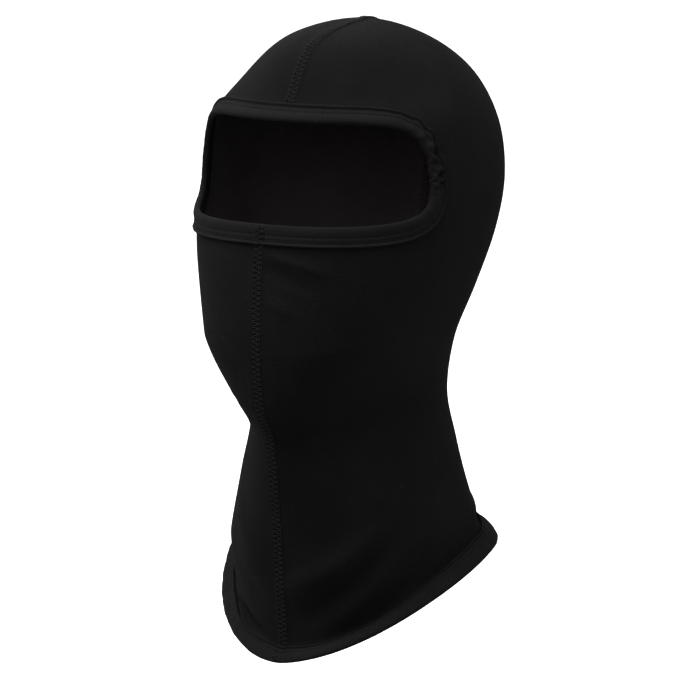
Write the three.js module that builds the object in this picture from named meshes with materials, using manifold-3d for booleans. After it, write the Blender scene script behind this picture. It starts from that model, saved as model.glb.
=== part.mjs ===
// A one-hole balaclava in stretch jersey, sewn from two mirrored half panels.
//
// Millimetres, +Z up, the face looks along -Y and the wearer's left is +X. The origin is the top of
// the crown, where the hood rests on a head. The hood has the shape that it takes on a head: a head
// form described by level sections, which every piece follows.
import * as THREE from "three";
import { LoftGeometry } from "three/addons/geometries/LoftGeometry.js";
import { mergeVertices } from "three/addons/utils/BufferGeometryUtils.js";
import Module from "manifold-3d";

const wasm = await Module();
wasm.setup();

// Overall sizes of the worn hood.
const HEAD_LENGTH = 192;
const HEAD_BREADTH = 157;
const FRONT_DROP = 341;
const BACK_DROP = 285;

// The head form's sections, from the crown down: crown, top, hairline, brow, eyes, cheekbones, mouth,
// chin, throat, neck, collar, hem stitching and hem. Drops are percent of the front and back drop,
// reaches and the widest place percent of the head's length, and breadths percent of its breadth.
const FORM = {
  frontDrop: [0, 1.5, 9.5, 13.5, 24, 34, 48, 57, 63, 73.5, 86, 98.5, 100],
  backDrop: [0, 3, 10, 21.5, 32, 42.5, 51.5, 63, 74.5, 83, 92, 96.5, 100],
  frontReach: [0, 31, 46, 53.5, 62, 67, 69.5, 68.5, 63.5, 62, 60.5, 60, 68],
  backReach: [0, 12, 27, 38, 38.5, 35, 30, 25, 20, 14.5, 10, 8, 11.5],
  breadth: [0, 46, 80.5, 96.5, 101, 95, 81, 66.5, 62, 73, 86, 92, 104],
  widest: [0, 2, 3, 4, 4, 6, 8.5, 11.5, 12.5, 11.5, 10, 8, 7],
  // How full the front half of each section is: 2 is an ellipse, less is pointed, more is boxy.
  frontFullness: [2, 2, 2.1, 2.2, 2.2, 2.4, 2.6, 1.9, 1.6, 1.8, 2, 1.7, 1.7],
};
const BACK_FULLNESS = 2;
const HEM_SECTION = FORM.frontDrop.length - 1;
const MIRRORED_SECTIONS = 2;

// The eye opening's finished edge. Heights are in sections down from the crown, the half width in
// degrees round the head from the middle of the face.
const EYE_END_ANGLE = 53.4;
const EYE_END_SECTION = 3.75;
const EYE_RISE = 1.07;
const EYE_FALL = 0.59;
const EYE_CORNER_DIP = 0.17;
const EYE_TOP_FULLNESS = 3;
const EYE_BOTTOM_FULLNESS = 3.5;

// Cloth, binding and thread sizes.
const PANEL_WALL = 1.2;
const CENTRE_GAP = 0.3;
const BINDING_WIDTH = 11;
const BINDING_CLOTH = 0.9;
const BINDING_CLEARANCE = 1.1;
const LIP_HEIGHT = 0.5;
const LIP_WIDTH = 1.4;
const FOLD_CLEARANCE = 0.5;
const THREAD = 0.5;
const THREAD_CLEARANCE = 0.75;
const COVER_CLEARANCE = 1.1;
const SEAM_WIDTH = 5.4;
const NEEDLE_THREADS = 4;
const COVER_STITCH_STEP = 5;
const BINDING_ROWS = [3.2, 6.4];
const SEAM_RAMP = 10;
const SEAM_LIP_GAP = 0.8;
const SEAM_END_GAP = 1.5;

// The blank care label inside the nape.
const LABEL_WIDTH = 32;
const LABEL_HEIGHT = 22;
const LABEL_CLOTH = 0.4;
const LABEL_SECTION = 9;
const LABEL_SIDE_GAP = 6;
const LABEL_STITCH_INSET = 3;

// How finely the solids are stepped.
const PANEL_COLUMNS = 28;
const COLUMN_CROWDING = 1.3;
const ROW_STEP = 12;
const SEAM_STRIP_ANGLE = 2.2;
const EYE_STEPS = 56;
const FINE_STEPS = 300;
const WALK_STEPS = 6;
const CUTTER_COLUMNS = 16;
const CUTTER_ROWS = 6;
const CUTTER_REACH = 6;
const CUTTER_PAST_CENTRE = 12;
const LABEL_COLUMNS = 5;
const LABEL_ROWS = 3;
const LABEL_STITCH_STEPS = 10;
const TINY_STEP = 1e-3;

const FRONT = 0;
const BACK = Math.PI;
const toAngle = THREE.MathUtils.degToRad;

// ---- The head form ----

// A smooth curve through one measure of the sections. The crown is a dome, so measures across the
// head change sign beyond it and heights do not.
function sectionCurve(values, size, changesSign) {
  const sign = changesSign ? -1 : 1;
  const beyond = [sign * values[2], sign * values[1]];
  const points = [...beyond, ...values].map((value, index) => new THREE.Vector2(index, value * size));
  const curve = new THREE.SplineCurve(points);
  return (section) => curve.getPoint((section + MIRRORED_SECTIONS) / (points.length - 1)).y;
}

const PERCENT = 0.01;
const frontDrop = sectionCurve(FORM.frontDrop, FRONT_DROP * PERCENT, false);
const backDrop = sectionCurve(FORM.backDrop, BACK_DROP * PERCENT, false);
const frontReach = sectionCurve(FORM.frontReach, HEAD_LENGTH * PERCENT, true);
const backReach = sectionCurve(FORM.backReach, HEAD_LENGTH * PERCENT, true);
const halfBreadth = sectionCurve(FORM.breadth, (HEAD_BREADTH * PERCENT) / 2, true);
const widestPlace = sectionCurve(FORM.widest, HEAD_LENGTH * PERCENT, true);

function frontFullness(section) {
  const values = FORM.frontFullness;
  const low = Math.min(Math.max(Math.floor(section), 0), values.length - 2);
  return THREE.MathUtils.lerp(values[low], values[low + 1], Math.min(Math.max(section - low, 0), 1));
}

// The point of the form at an angle round the head, from the middle of the face towards the wearer's
// left, and a section down from the crown.
function formPoint(angle, section) {
  const middle = -widestPlace(section);
  const ahead = Math.cos(angle) > 0;
  const depth = ahead ? frontReach(section) + middle : backReach(section) - middle;
  const fullness = ahead ? frontFullness(section) : BACK_FULLNESS;
  const across = Math.abs(Math.sin(angle)) / Math.max(halfBreadth(section), TINY_STEP);
  const along = Math.abs(Math.cos(angle)) / Math.max(depth, TINY_STEP);
  const radius = (across ** fullness + along ** fullness) ** (-1 / fullness);
  const y = middle - radius * Math.cos(angle);
  const length = Math.max(frontReach(section) + backReach(section), TINY_STEP);
  const towardsBack = THREE.MathUtils.clamp((y + frontReach(section)) / length, 0, 1);
  const drop = THREE.MathUtils.lerp(frontDrop(section), backDrop(section), towardsBack);
  return new THREE.Vector3(radius * Math.sin(angle), y, -drop);
}

// The form's directions at a place: round the head, down it and straight out of it.
function formFrame(angle, section) {
  const row = Math.max(section, TINY_STEP);
  const round = formPoint(angle + TINY_STEP, row).sub(formPoint(angle - TINY_STEP, row));
  const down = formPoint(angle, row + TINY_STEP).sub(formPoint(angle, row - TINY_STEP));
  round.divideScalar(2 * TINY_STEP);
  down.divideScalar(2 * TINY_STEP);
  const out = new THREE.Vector3().crossVectors(down, round).normalize();
  return { round, down, out };
}

// A point at a height out of the form, negative for inside.
function offForm(angle, section, height) {
  if (section <= 0) {
    return new THREE.Vector3(0, 0, height);
  }
  return formPoint(angle, section).addScaledVector(formFrame(angle, section).out, height);
}

// The place at a distance above the finished hem, straight up the cloth.
function aboveHem(angle, distance) {
  let section = HEM_SECTION;
  for (let step = 0; step < WALK_STEPS; step += 1) {
    section -= distance / WALK_STEPS / formFrame(angle, section).down.length();
  }
  return { angle, section };
}

// How many rows the cloth takes from each section to the next.
function rowCounts() {
  const side = BACK / 2;
  const lengths = spread(0, HEM_SECTION, HEM_SECTION).slice(1).map((section) => Math.max(
    formPoint(FRONT, section).distanceTo(formPoint(FRONT, section - 1)),
    formPoint(side, section).distanceTo(formPoint(side, section - 1)),
  ));
  return lengths.map((length) => Math.ceil(length / ROW_STEP));
}

// The rows at which the cloth bends, at one angle: between the sections down to the hem binding, and
// straight from there to the hem, because the folded binding is stiff.
const rowsByAngle = new Map();
function clothRows(angle) {
  if (!rowsByAngle.has(angle)) {
    const share = aboveHem(angle, BINDING_WIDTH).section / HEM_SECTION;
    const rows = rowCounts().flatMap((count, section) => spread(section, section + 1, count).slice(1));
    rowsByAngle.set(angle, [0, ...rows.map((section) => section * share), HEM_SECTION]);
  }
  return rowsByAngle.get(angle);
}

// A point of the cloth, which is straight between its rows, at a height out of it.
function lifted(angle, section, height) {
  const rows = clothRows(angle);
  const next = Math.max(rows.findIndex((row) => row >= section), 1);
  const share = (section - rows[next - 1]) / (rows[next] - rows[next - 1]);
  return offForm(angle, rows[next - 1], height).lerp(offForm(angle, rows[next], height), share);
}

// The place that lies a distance from another one across the form, in a direction given in space.
function stepAcross(place, direction, distance) {
  const { round, down } = formFrame(place.angle, place.section);
  const a = round.dot(round);
  const b = round.dot(down);
  const c = down.dot(down);
  const p = direction.dot(round);
  const q = direction.dot(down);
  const area = a * c - b * b;
  return {
    angle: place.angle + ((p * c - q * b) / area) * distance,
    section: place.section + ((q * a - p * b) / area) * distance,
  };
}

// ---- The eye opening's edge ----

// The finished edge at a turn round the opening: 0 is the wearer's left end, a quarter turn its top.
function eyeEdge(turn) {
  const along = Math.cos(turn);
  const upwards = Math.sin(turn);
  const fullness = upwards > 0 ? EYE_TOP_FULLNESS : EYE_BOTTOM_FULLNESS;
  const size = (Math.abs(along) ** fullness + Math.abs(upwards) ** fullness) ** (-1 / fullness);
  const side = size * along;
  const rise = upwards > 0 ? EYE_RISE : EYE_FALL + EYE_CORNER_DIP * side * side;
  return {
    angle: toAngle(EYE_END_ANGLE) * side,
    section: EYE_END_SECTION - rise * size * upwards,
  };
}

// The place at a distance outside the opening's edge, measured across the cloth.
function besideEye(turn, distance) {
  const before = eyeEdge(turn - TINY_STEP);
  const after = eyeEdge(turn + TINY_STEP);
  let place = eyeEdge(turn);
  for (let step = 0; step < WALK_STEPS; step += 1) {
    const { round, down, out } = formFrame(place.angle, place.section);
    const along = round.clone().multiplyScalar(after.angle - before.angle);
    along.addScaledVector(down, after.section - before.section);
    const outwards = new THREE.Vector3().crossVectors(along, out).normalize();
    place = stepAcross(place, outwards, distance / WALK_STEPS);
  }
  return place;
}

// ---- Building blocks ----

// A closed body from a loft: shared points are merged and collapsed faces dropped.
function closedBody(geometry) {
  const shape = new THREE.BufferGeometry();
  shape.setAttribute("position", geometry.getAttribute("position"));
  shape.setIndex(geometry.getIndex());
  const merged = mergeVertices(shape, TINY_STEP);
  const index = merged.getIndex().array;
  const kept = [];
  for (let i = 0; i < index.length; i += 3) {
    const [a, b, c] = [index[i], index[i + 1], index[i + 2]];
    if (a !== b && b !== c && c !== a) {
      kept.push(a, b, c);
    }
  }
  merged.setIndex(kept);
  return merged;
}

function lofted(sections, { capStart = true, capEnd = true } = {}) {
  return closedBody(new LoftGeometry(sections, { closed: true, capStart, capEnd }));
}

function manifoldFrom(geometry) {
  const vertProperties = new Float32Array(geometry.getAttribute("position").array);
  const triVerts = new Uint32Array(geometry.getIndex().array);
  return new wasm.Manifold(new wasm.Mesh({ numProp: 3, vertProperties, triVerts }));
}

function geometryFrom(solid) {
  const { vertProperties, triVerts } = solid.getMesh();
  const geometry = new THREE.BufferGeometry();
  geometry.setAttribute("position", new THREE.Float32BufferAttribute(vertProperties, 3));
  geometry.setIndex(new THREE.Uint32BufferAttribute(triVerts, 1));
  return geometry;
}

// Numbers from one end to the other, both ends included.
function spread(from, to, steps) {
  return Array.from({ length: steps + 1 }, (_, step) => THREE.MathUtils.lerp(from, to, step / steps));
}

// A thread along a smooth line of points, square in section.
function smoothThread(points, steps) {
  const half = THREAD / 2;
  const square = new THREE.Shape([
    new THREE.Vector2(half, half),
    new THREE.Vector2(-half, half),
    new THREE.Vector2(-half, -half),
    new THREE.Vector2(half, -half),
  ]);
  const extrudePath = new THREE.CatmullRomCurve3(points);
  return closedBody(new THREE.ExtrudeGeometry(square, { steps, extrudePath }));
}

// A thread with sharp corners, such as a zigzag, with one square ring at each corner.
function corneredThread(corners) {
  const half = THREAD / 2;
  const rings = corners.map(({ point, along, out }) => {
    const side = new THREE.Vector3().crossVectors(along, out).normalize();
    const ring = [[half, half], [half, -half], [-half, -half], [-half, half]];
    return ring.map(([across, up]) => point.clone().addScaledVector(side, across).addScaledVector(out, up));
  });
  return lofted(rings);
}

// ---- The panels ----

// The angles of the left half's columns, from the front seam round to the back seam. They lie closer
// over the face, which is further from the axis than the nape.
function columnAngles() {
  const strip = toAngle(SEAM_STRIP_ANGLE);
  const shares = spread(0, 1, PANEL_COLUMNS).map((share) => share ** COLUMN_CROWDING);
  return [FRONT, ...shares.map((share) => THREE.MathUtils.lerp(strip, BACK - strip, share)), BACK];
}

// The wearer's left half: from the front seam round to the back seam, with the eye opening cut out.
function halfPanel() {
  const rings = columnAngles().map((angle) => {
    const hemEnd = aboveHem(angle, FOLD_CLEARANCE + BINDING_CLOTH).section;
    const rows = [...clothRows(angle).slice(0, -1), hemEnd];
    const outside = rows.map((section) => lifted(angle, section, 0));
    const inside = rows.map((section) => lifted(angle, section, -PANEL_WALL)).reverse();
    return [...outside, ...inside].map((point) => point.setX(point.x + CENTRE_GAP / 2));
  });
  const shell = manifoldFrom(lofted(rings));
  return geometryFrom(shell.subtract(manifoldFrom(eyeCutter())));
}

// A patch that follows the form through the cloth, as wide as the opening in the panels.
function eyeCutter() {
  const distance = FOLD_CLEARANCE + BINDING_CLOTH;
  const turns = spread(Math.PI / 2 + toAngle(CUTTER_PAST_CENTRE), 0, CUTTER_COLUMNS);
  const rings = turns.map((turn) => {
    const top = besideEye(turn, distance);
    const bottom = besideEye(-turn, distance);
    const rows = spread(0, 1, CUTTER_ROWS).map((row) => ({
      angle: THREE.MathUtils.lerp(top.angle, bottom.angle, row),
      section: THREE.MathUtils.lerp(top.section, bottom.section, row),
    }));
    const outside = rows.map(({ angle, section }) => lifted(angle, section, CUTTER_REACH));
    const inside = rows.map(({ angle, section }) => lifted(angle, section, -CUTTER_REACH)).reverse();
    return [...outside, ...inside];
  });
  return lofted(rings, { capEnd: false });
}

// ---- The bindings ----

// The folded strip's outline: [distance from the finished edge, height out of the form]. It runs
// from the raised lip outside, round the fold at the edge, to the inside layer's free edge.
function bindingOutline() {
  const outer = BINDING_CLEARANCE;
  const face = outer + BINDING_CLOTH;
  const lip = face + LIP_HEIGHT;
  const innerTop = -PANEL_WALL - BINDING_CLEARANCE;
  const inner = innerTop - BINDING_CLOTH;
  const fold = BINDING_CLOTH;
  return [
    [BINDING_WIDTH, outer],
    [BINDING_WIDTH, lip - LIP_HEIGHT / 2],
    [BINDING_WIDTH - LIP_WIDTH / 2, lip],
    [BINDING_WIDTH - LIP_WIDTH, face],
    [fold, face],
    [0, outer],
    [0, innerTop],
    [fold, inner],
    [BINDING_WIDTH - LIP_WIDTH, inner],
    [BINDING_WIDTH - LIP_WIDTH, innerTop],
    [fold, innerTop],
    [fold, outer],
  ];
}

// How far a place of the form lies from the middle of its section, seen from above.
function radiusAt(angle, section) {
  const middle = new THREE.Vector3(0, -widestPlace(section), 0);
  return formPoint(angle, section).setZ(0).distanceTo(middle);
}

// The angle that puts a place of the form a distance to the side of its middle plane.
function sideAngle(angle, section, distance) {
  return Math.asin(distance / radiusAt(angle, section));
}

// Turns round the opening, from a distance beside the front seam at its lower edge to the other side.
function eyeTurns(beside) {
  const seamTurn = -Math.PI / 2;
  const clearTurn = beside / (toAngle(EYE_END_ANGLE) * formPoint(FRONT, EYE_END_SECTION).length());
  return spread(seamTurn + clearTurn, seamTurn + 2 * Math.PI - clearTurn, EYE_STEPS);
}

function eyeBinding() {
  const rings = eyeTurns(CENTRE_GAP / 2).map((turn) =>
    bindingOutline().map(([distance, height]) => {
      const { angle, section } = besideEye(turn, distance);
      return lifted(angle, section, height);
    }).reverse());
  return lofted(rings);
}

// The panels' column angles all round the hem, from one side of the front seam to the other.
function hemAngles(join) {
  const left = columnAngles().filter((angle) => angle > join);
  const right = left.slice(0, -1).map((angle) => 2 * Math.PI - angle).reverse();
  return [join, ...left, ...right, 2 * Math.PI - join];
}

function hemBinding() {
  const rings = hemAngles(sideAngle(FRONT, HEM_SECTION, CENTRE_GAP / 2)).map((around) =>
    bindingOutline().map(([distance, height]) => {
      const { angle, section } = aboveHem(around, distance);
      return lifted(angle, section, height);
    }));
  return lofted(rings);
}

// ---- The flatlock seams ----

// Where the front seam comes down off the eye binding's lip and climbs onto the hem binding's.
const seamRamps = {
  eyeLip: besideEye(-Math.PI / 2, BINDING_WIDTH + SEAM_LIP_GAP).section,
  eyeRampEnd: besideEye(-Math.PI / 2, BINDING_WIDTH + SEAM_RAMP).section,
  hemRampStart: aboveHem(FRONT, BINDING_WIDTH + SEAM_RAMP).section,
  hemLip: aboveHem(FRONT, BINDING_WIDTH + SEAM_LIP_GAP).section,
};

// How far the layers under the front seam stand out of the panel: 0 on the panel, 1 on a binding.
function bindingUnder(section) {
  const { eyeLip, eyeRampEnd, hemRampStart, hemLip } = seamRamps;
  const offEye = THREE.MathUtils.mapLinear(section, eyeLip, eyeRampEnd, 1, 0);
  const ontoHem = THREE.MathUtils.mapLinear(section, hemRampStart, hemLip, 0, 1);
  return THREE.MathUtils.clamp(Math.max(offEye, ontoHem), 0, 1);
}

const SEAM_BASE = THREAD_CLEARANCE + THREAD / 2;
const BINDING_STACK = BINDING_CLEARANCE + BINDING_CLOTH + LIP_HEIGHT;

// A seam is followed by a travel along the middle plane. Its size is the section, and on the crown
// seam it is negative ahead of the crown and positive behind it.
// The front seam runs from the eye opening over the chin to the hem, across both bindings.
const frontSeam = {
  name: "front_seam",
  from: besideEye(-Math.PI / 2, SEAM_END_GAP).section,
  to: aboveHem(FRONT, SEAM_END_GAP).section,
  bends: [...clothRows(FRONT), ...Object.values(seamRamps)],
  place: (travel) => ({ angle: FRONT, section: travel }),
  stack: (travel) => BINDING_STACK * bindingUnder(travel),
};

// The crown seam runs from the opening's binding over the crown and down the nape to the hem's.
const crownSeam = {
  name: "crown_seam",
  from: -besideEye(Math.PI / 2, BINDING_WIDTH + SEAM_END_GAP).section,
  to: aboveHem(BACK, BINDING_WIDTH + SEAM_END_GAP).section,
  bends: [...clothRows(FRONT).map((section) => -section), ...clothRows(BACK).slice(1)],
  place: (travel) => ({ angle: travel < 0 ? FRONT : BACK, section: Math.abs(travel) }),
  stack: () => 0,
};

// A point beside the seam's middle, at a height out of the panel or, if negative, into it.
function seamPoint(seam, travel, offset, height) {
  const { angle, section } = seam.place(travel);
  const rise = height + Math.sign(height) * seam.stack(travel);
  if (radiusAt(angle, section) < SEAM_WIDTH) {
    return lifted(angle, section, rise).setX(offset);
  }
  const turn = sideAngle(angle, section, offset);
  return lifted(angle === FRONT ? turn : BACK - turn, section, rise);
}

// Travels at an even spacing along the seam, both ends included.
function evenTravels(seam, spacing) {
  const fine = spread(seam.from, seam.to, FINE_STEPS);
  const points = fine.map((travel) => seamPoint(seam, travel, 0, SEAM_BASE));
  const lengths = [0];
  for (let i = 1; i < points.length; i += 1) {
    lengths.push(lengths[i - 1] + points[i].distanceTo(points[i - 1]));
  }
  const total = lengths[FINE_STEPS];
  const count = Math.round(total / spacing);
  return spread(0, total, count).map((length) => {
    const after = Math.max(lengths.findIndex((reached) => reached >= length - TINY_STEP), 1);
    const share = (length - lengths[after - 1]) / (lengths[after] - lengths[after - 1]);
    return THREE.MathUtils.lerp(fine[after - 1], fine[after], share);
  });
}

// A thread through places of a seam: an offset to the side for each travel, at one height.
function seamThread(seam, travels, offsetAt, height) {
  const corners = travels.map((travel, index) => {
    const next = travels[Math.min(index + 1, travels.length - 1)];
    const last = travels[Math.max(index - 1, 0)];
    const along = seamPoint(seam, next, 0, height).sub(seamPoint(seam, last, 0, height)).normalize();
    const side = new THREE.Vector3(1, 0, 0);
    const out = new THREE.Vector3().crossVectors(side, along).normalize();
    return { point: seamPoint(seam, travel, offsetAt(index), height), along, out };
  });
  return corneredThread(corners);
}

// A needle thread lies straight between the rows at which the cloth bends.
function needleThread(seam, offset) {
  const inside = seam.bends.filter((travel) => travel > seam.from && travel < seam.to);
  const travels = [seam.from, ...inside.sort((a, b) => a - b), seam.to];
  return seamThread(seam, travels, () => offset, SEAM_BASE);
}

// A zigzag from edge to edge of the seam, at a height out of the form.
function zigzagThread(seam, height) {
  const half = (SEAM_WIDTH + THREAD) / 2;
  const travels = evenTravels(seam, COVER_STITCH_STEP);
  return seamThread(seam, travels, (index) => (index % 2 ? half : -half), height);
}

// ---- The coverstitch on the bindings ----

const STITCH_END = SEAM_WIDTH / 2 + SEAM_END_GAP + THREAD;

// The places of a line of stitching round the eye binding, which ends at both sides of the front
// seam. It takes the distances from the finished edge in turn.
function eyeStitching(distances, height) {
  return eyeTurns(STITCH_END).map((turn, index) => {
    const { angle, section } = besideEye(turn, distances[index % distances.length]);
    return { point: lifted(angle, section, height), out: formFrame(angle, section).out };
  });
}

function hemStitching(distances, height) {
  return hemAngles(sideAngle(FRONT, HEM_SECTION, STITCH_END)).map((around, index) => {
    const { angle, section } = aboveHem(around, distances[index % distances.length]);
    return { point: lifted(angle, section, height), out: formFrame(angle, section).out };
  });
}

const ROW_HEIGHT = BINDING_CLEARANCE + BINDING_CLOTH + THREAD_CLEARANCE + THREAD / 2;
const INNER_ROW_HEIGHT = -PANEL_WALL - ROW_HEIGHT;

// A thread through the places of a line of stitching. Each place is turned along the line between the
// places before and after it that lie at its own distance from the edge.
function stitchThread(stitching, distances, height) {
  const places = stitching(distances, height);
  const apart = distances.length;
  return corneredThread(places.map((place, index) => {
    const next = places[Math.min(index + apart, places.length - 1)];
    const last = places[Math.max(index - apart, 0)];
    return { ...place, along: next.point.clone().sub(last.point).normalize() };
  }));
}

// ---- The care label ----

// Where the label lies: beside the crown seam, inside the wearer's left panel at the nape.
function labelPlace(across, down) {
  const radius = radiusAt(BACK, LABEL_SECTION);
  const angle = BACK - (LABEL_SIDE_GAP + across) / radius;
  const section = LABEL_SECTION + down / formFrame(angle, LABEL_SECTION).down.length();
  return { angle, section };
}

const LABEL_HEIGHT_IN = -PANEL_WALL - THREAD_CLEARANCE;

function careLabel() {
  const rings = spread(0, LABEL_WIDTH, LABEL_COLUMNS).map((across) => {
    const rows = spread(0, LABEL_HEIGHT, LABEL_ROWS).map((down) => labelPlace(across, down));
    const near = rows.map(({ angle, section }) => lifted(angle, section, LABEL_HEIGHT_IN));
    const far = rows.map(({ angle, section }) => lifted(angle, section, LABEL_HEIGHT_IN - LABEL_CLOTH));
    return [...far, ...near.reverse()];
  });
  return lofted(rings);
}

function labelStitch() {
  const height = LABEL_HEIGHT_IN - LABEL_CLOTH - THREAD_CLEARANCE - THREAD / 2;
  const last = LABEL_WIDTH - LABEL_STITCH_INSET;
  const points = spread(LABEL_STITCH_INSET, last, LABEL_COLUMNS).map((across) => {
    const { angle, section } = labelPlace(across, LABEL_STITCH_INSET);
    return lifted(angle, section, height);
  });
  return smoothThread(points, LABEL_STITCH_STEPS);
}

// ---- Materials and assembly ----

const jersey = () => new THREE.MeshStandardMaterial({ color: 0x18181b, roughness: 0.88, metalness: 0 });
const bindingCloth = () => new THREE.MeshStandardMaterial({ color: 0x1c1c1e, roughness: 0.84, metalness: 0 });
const thread = () => new THREE.MeshStandardMaterial({ color: 0x202022, roughness: 0.6, metalness: 0 });
const labelTape = () => new THREE.MeshStandardMaterial({ color: 0x2a2a2c, roughness: 0.55, metalness: 0 });

const hood = new THREE.Group();
hood.name = "balaclava";

function addPiece(name, geometry, material, mirrored = false) {
  geometry.computeVertexNormals();
  const mesh = new THREE.Mesh(geometry, material);
  mesh.name = name;
  if (mirrored) {
    mesh.scale.x = -1;
  }
  hood.add(mesh);
}

const leftHalf = halfPanel();
addPiece("left_panel", leftHalf, jersey());
addPiece("right_panel", leftHalf.clone(), jersey(), true);
addPiece("eye_binding", eyeBinding(), bindingCloth());
addPiece("hem_binding", hemBinding(), bindingCloth());

for (const seam of [frontSeam, crownSeam]) {
  for (let needle = 0; needle < NEEDLE_THREADS; needle += 1) {
    const spacing = (SEAM_WIDTH - THREAD) / (NEEDLE_THREADS - 1);
    const offset = (needle - (NEEDLE_THREADS - 1) / 2) * spacing;
    addPiece(`${seam.name}_needle_thread_${needle + 1}`, needleThread(seam, offset), thread());
  }
  const coverHeight = SEAM_BASE + THREAD + COVER_CLEARANCE;
  addPiece(`${seam.name}_cover_thread`, zigzagThread(seam, coverHeight), thread());
  addPiece(`${seam.name}_looper_thread`, zigzagThread(seam, -PANEL_WALL - SEAM_BASE), thread());
}

BINDING_ROWS.forEach((distance, row) => {
  const eyeRow = stitchThread(eyeStitching, [distance], ROW_HEIGHT);
  const hemRow = stitchThread(hemStitching, [distance], ROW_HEIGHT);
  addPiece(`eye_binding_needle_thread_${row + 1}`, eyeRow, thread());
  addPiece(`hem_binding_needle_thread_${row + 1}`, hemRow, thread());
});
const eyeLooper = stitchThread(eyeStitching, BINDING_ROWS, INNER_ROW_HEIGHT);
const hemLooper = stitchThread(hemStitching, BINDING_ROWS, INNER_ROW_HEIGHT);
addPiece("eye_binding_looper_thread", eyeLooper, thread());
addPiece("hem_binding_looper_thread", hemLooper, thread());

addPiece("care_label", careLabel(), labelTape());
addPiece("care_label_stitch", labelStitch(), thread());

export default hood;
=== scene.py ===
import math

import bmesh
import bpy
import numpy as np
from mathutils import Matrix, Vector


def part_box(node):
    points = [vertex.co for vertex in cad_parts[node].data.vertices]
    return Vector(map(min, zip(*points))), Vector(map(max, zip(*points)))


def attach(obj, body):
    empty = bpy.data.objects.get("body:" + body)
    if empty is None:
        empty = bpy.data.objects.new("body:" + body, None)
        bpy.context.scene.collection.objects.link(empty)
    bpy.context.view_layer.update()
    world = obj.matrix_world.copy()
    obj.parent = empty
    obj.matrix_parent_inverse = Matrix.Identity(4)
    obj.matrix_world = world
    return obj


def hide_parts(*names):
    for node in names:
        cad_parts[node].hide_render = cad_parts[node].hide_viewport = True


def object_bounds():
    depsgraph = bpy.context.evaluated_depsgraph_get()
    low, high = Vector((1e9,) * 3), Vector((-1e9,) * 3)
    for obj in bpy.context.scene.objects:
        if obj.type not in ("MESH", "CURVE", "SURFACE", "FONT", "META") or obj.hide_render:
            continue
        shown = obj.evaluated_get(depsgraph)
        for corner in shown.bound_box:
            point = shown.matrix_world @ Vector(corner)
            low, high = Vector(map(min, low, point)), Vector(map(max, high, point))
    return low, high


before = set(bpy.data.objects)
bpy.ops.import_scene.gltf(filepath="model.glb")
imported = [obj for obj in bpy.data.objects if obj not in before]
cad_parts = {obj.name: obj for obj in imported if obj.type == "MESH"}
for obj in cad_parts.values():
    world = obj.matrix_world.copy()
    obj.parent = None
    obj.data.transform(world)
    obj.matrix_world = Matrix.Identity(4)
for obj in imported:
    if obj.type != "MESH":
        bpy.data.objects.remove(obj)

cad_low, cad_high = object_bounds()

# ---- The camera ----
# A long lens stands a little above chin height, about a third of the way round to the wearer's left.
# The camera leans by the degree or two that the hood leans in its pose.
azimuth, elevation, lean = np.radians([28.5, 13.8, 1.6])
backwards = np.array([
    math.sin(azimuth) * math.cos(elevation), -math.cos(azimuth) * math.cos(elevation), math.sin(elevation)])
sideways = np.array([math.cos(azimuth), math.sin(azimuth), 0])
upwards = np.cross(backwards, sideways)
above = upwards * math.cos(lean) + sideways * math.sin(lean)
across = sideways * math.cos(lean) - upwards * math.sin(lean)
centre = (np.array(cad_low) + np.array(cad_high)) / 2
camera_place = centre + 0.0139 * across + 0.0012 * above + 2.392 * backwards
aim = centre + 0.0009 * across - 0.0139 * above - 0.0262 * backwards
camera_back = (camera_place - aim) / np.linalg.norm(camera_place - aim)
camera_right = np.cross(above, camera_back)
camera_right /= np.linalg.norm(camera_right)
camera_up = np.cross(camera_back, camera_right)
camera = bpy.data.objects.new("camera", bpy.data.cameras.new("camera"))
camera.data.sensor_width = 36
camera.data.lens = 217.5
camera.matrix_world = Matrix.Translation(camera_place) @ Matrix(
    np.stack([camera_right, camera_up, camera_back], 1).tolist()).to_4x4()
bpy.context.scene.collection.objects.link(camera)
bpy.context.scene.camera = camera

# ---- The studio ----
# A broad white floor lies well below the hood, which hangs as a head would hold it. White walls light
# it evenly, and large soft lamps above, at the sides and behind draw the edges of the black cloth.


def mesh_of_grid(name, grid, closed=(False, False), keep=None, uv=None, weld=False, material=None):
    """Joins a grid of points into a smooth mesh of four-sided faces.
    Face corners run down the second direction and then along the first, so that faces look outwards
    where down crossed with along points out. keep says which faces stay, and weld joins the points of
    a row that all lie in one place, such as a pole."""
    rows, columns = grid.shape[:2]
    number = np.arange(rows * columns).reshape(rows, columns)
    if closed[0]:
        number = np.concatenate([number, number[:1]])
    if closed[1]:
        number = np.concatenate([number, number[:, :1]], 1)
    corners = [number[:-1, :-1], number[:-1, 1:], number[1:, 1:], number[1:, :-1]]
    faces = np.stack(corners, -1)
    faces = faces[keep] if keep is not None else faces.reshape(-1, 4)
    used, faces = np.unique(faces, return_inverse=True)
    mesh = bpy.data.meshes.new(name)
    mesh.from_pydata(grid.reshape(-1, 3)[used].tolist(), [], faces.reshape(-1, 4).tolist())
    if uv is not None:
        corner_points = np.empty(len(mesh.loops), np.int32)
        mesh.loops.foreach_get("vertex_index", corner_points)
        mesh.uv_layers.new(name="cloth").data.foreach_set(
            "uv", uv.reshape(-1, 2)[used][corner_points].astype(np.float32).ravel())
    if weld:
        welded = bmesh.new()
        welded.from_mesh(mesh)
        bmesh.ops.remove_doubles(welded, verts=welded.verts, dist=1e-7)
        welded.to_mesh(mesh)
        welded.free()
    mesh.shade_smooth()
    if material:
        mesh.materials.append(material)
    piece = bpy.data.objects.new(name, mesh)
    bpy.context.scene.collection.objects.link(piece)
    return piece


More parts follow.
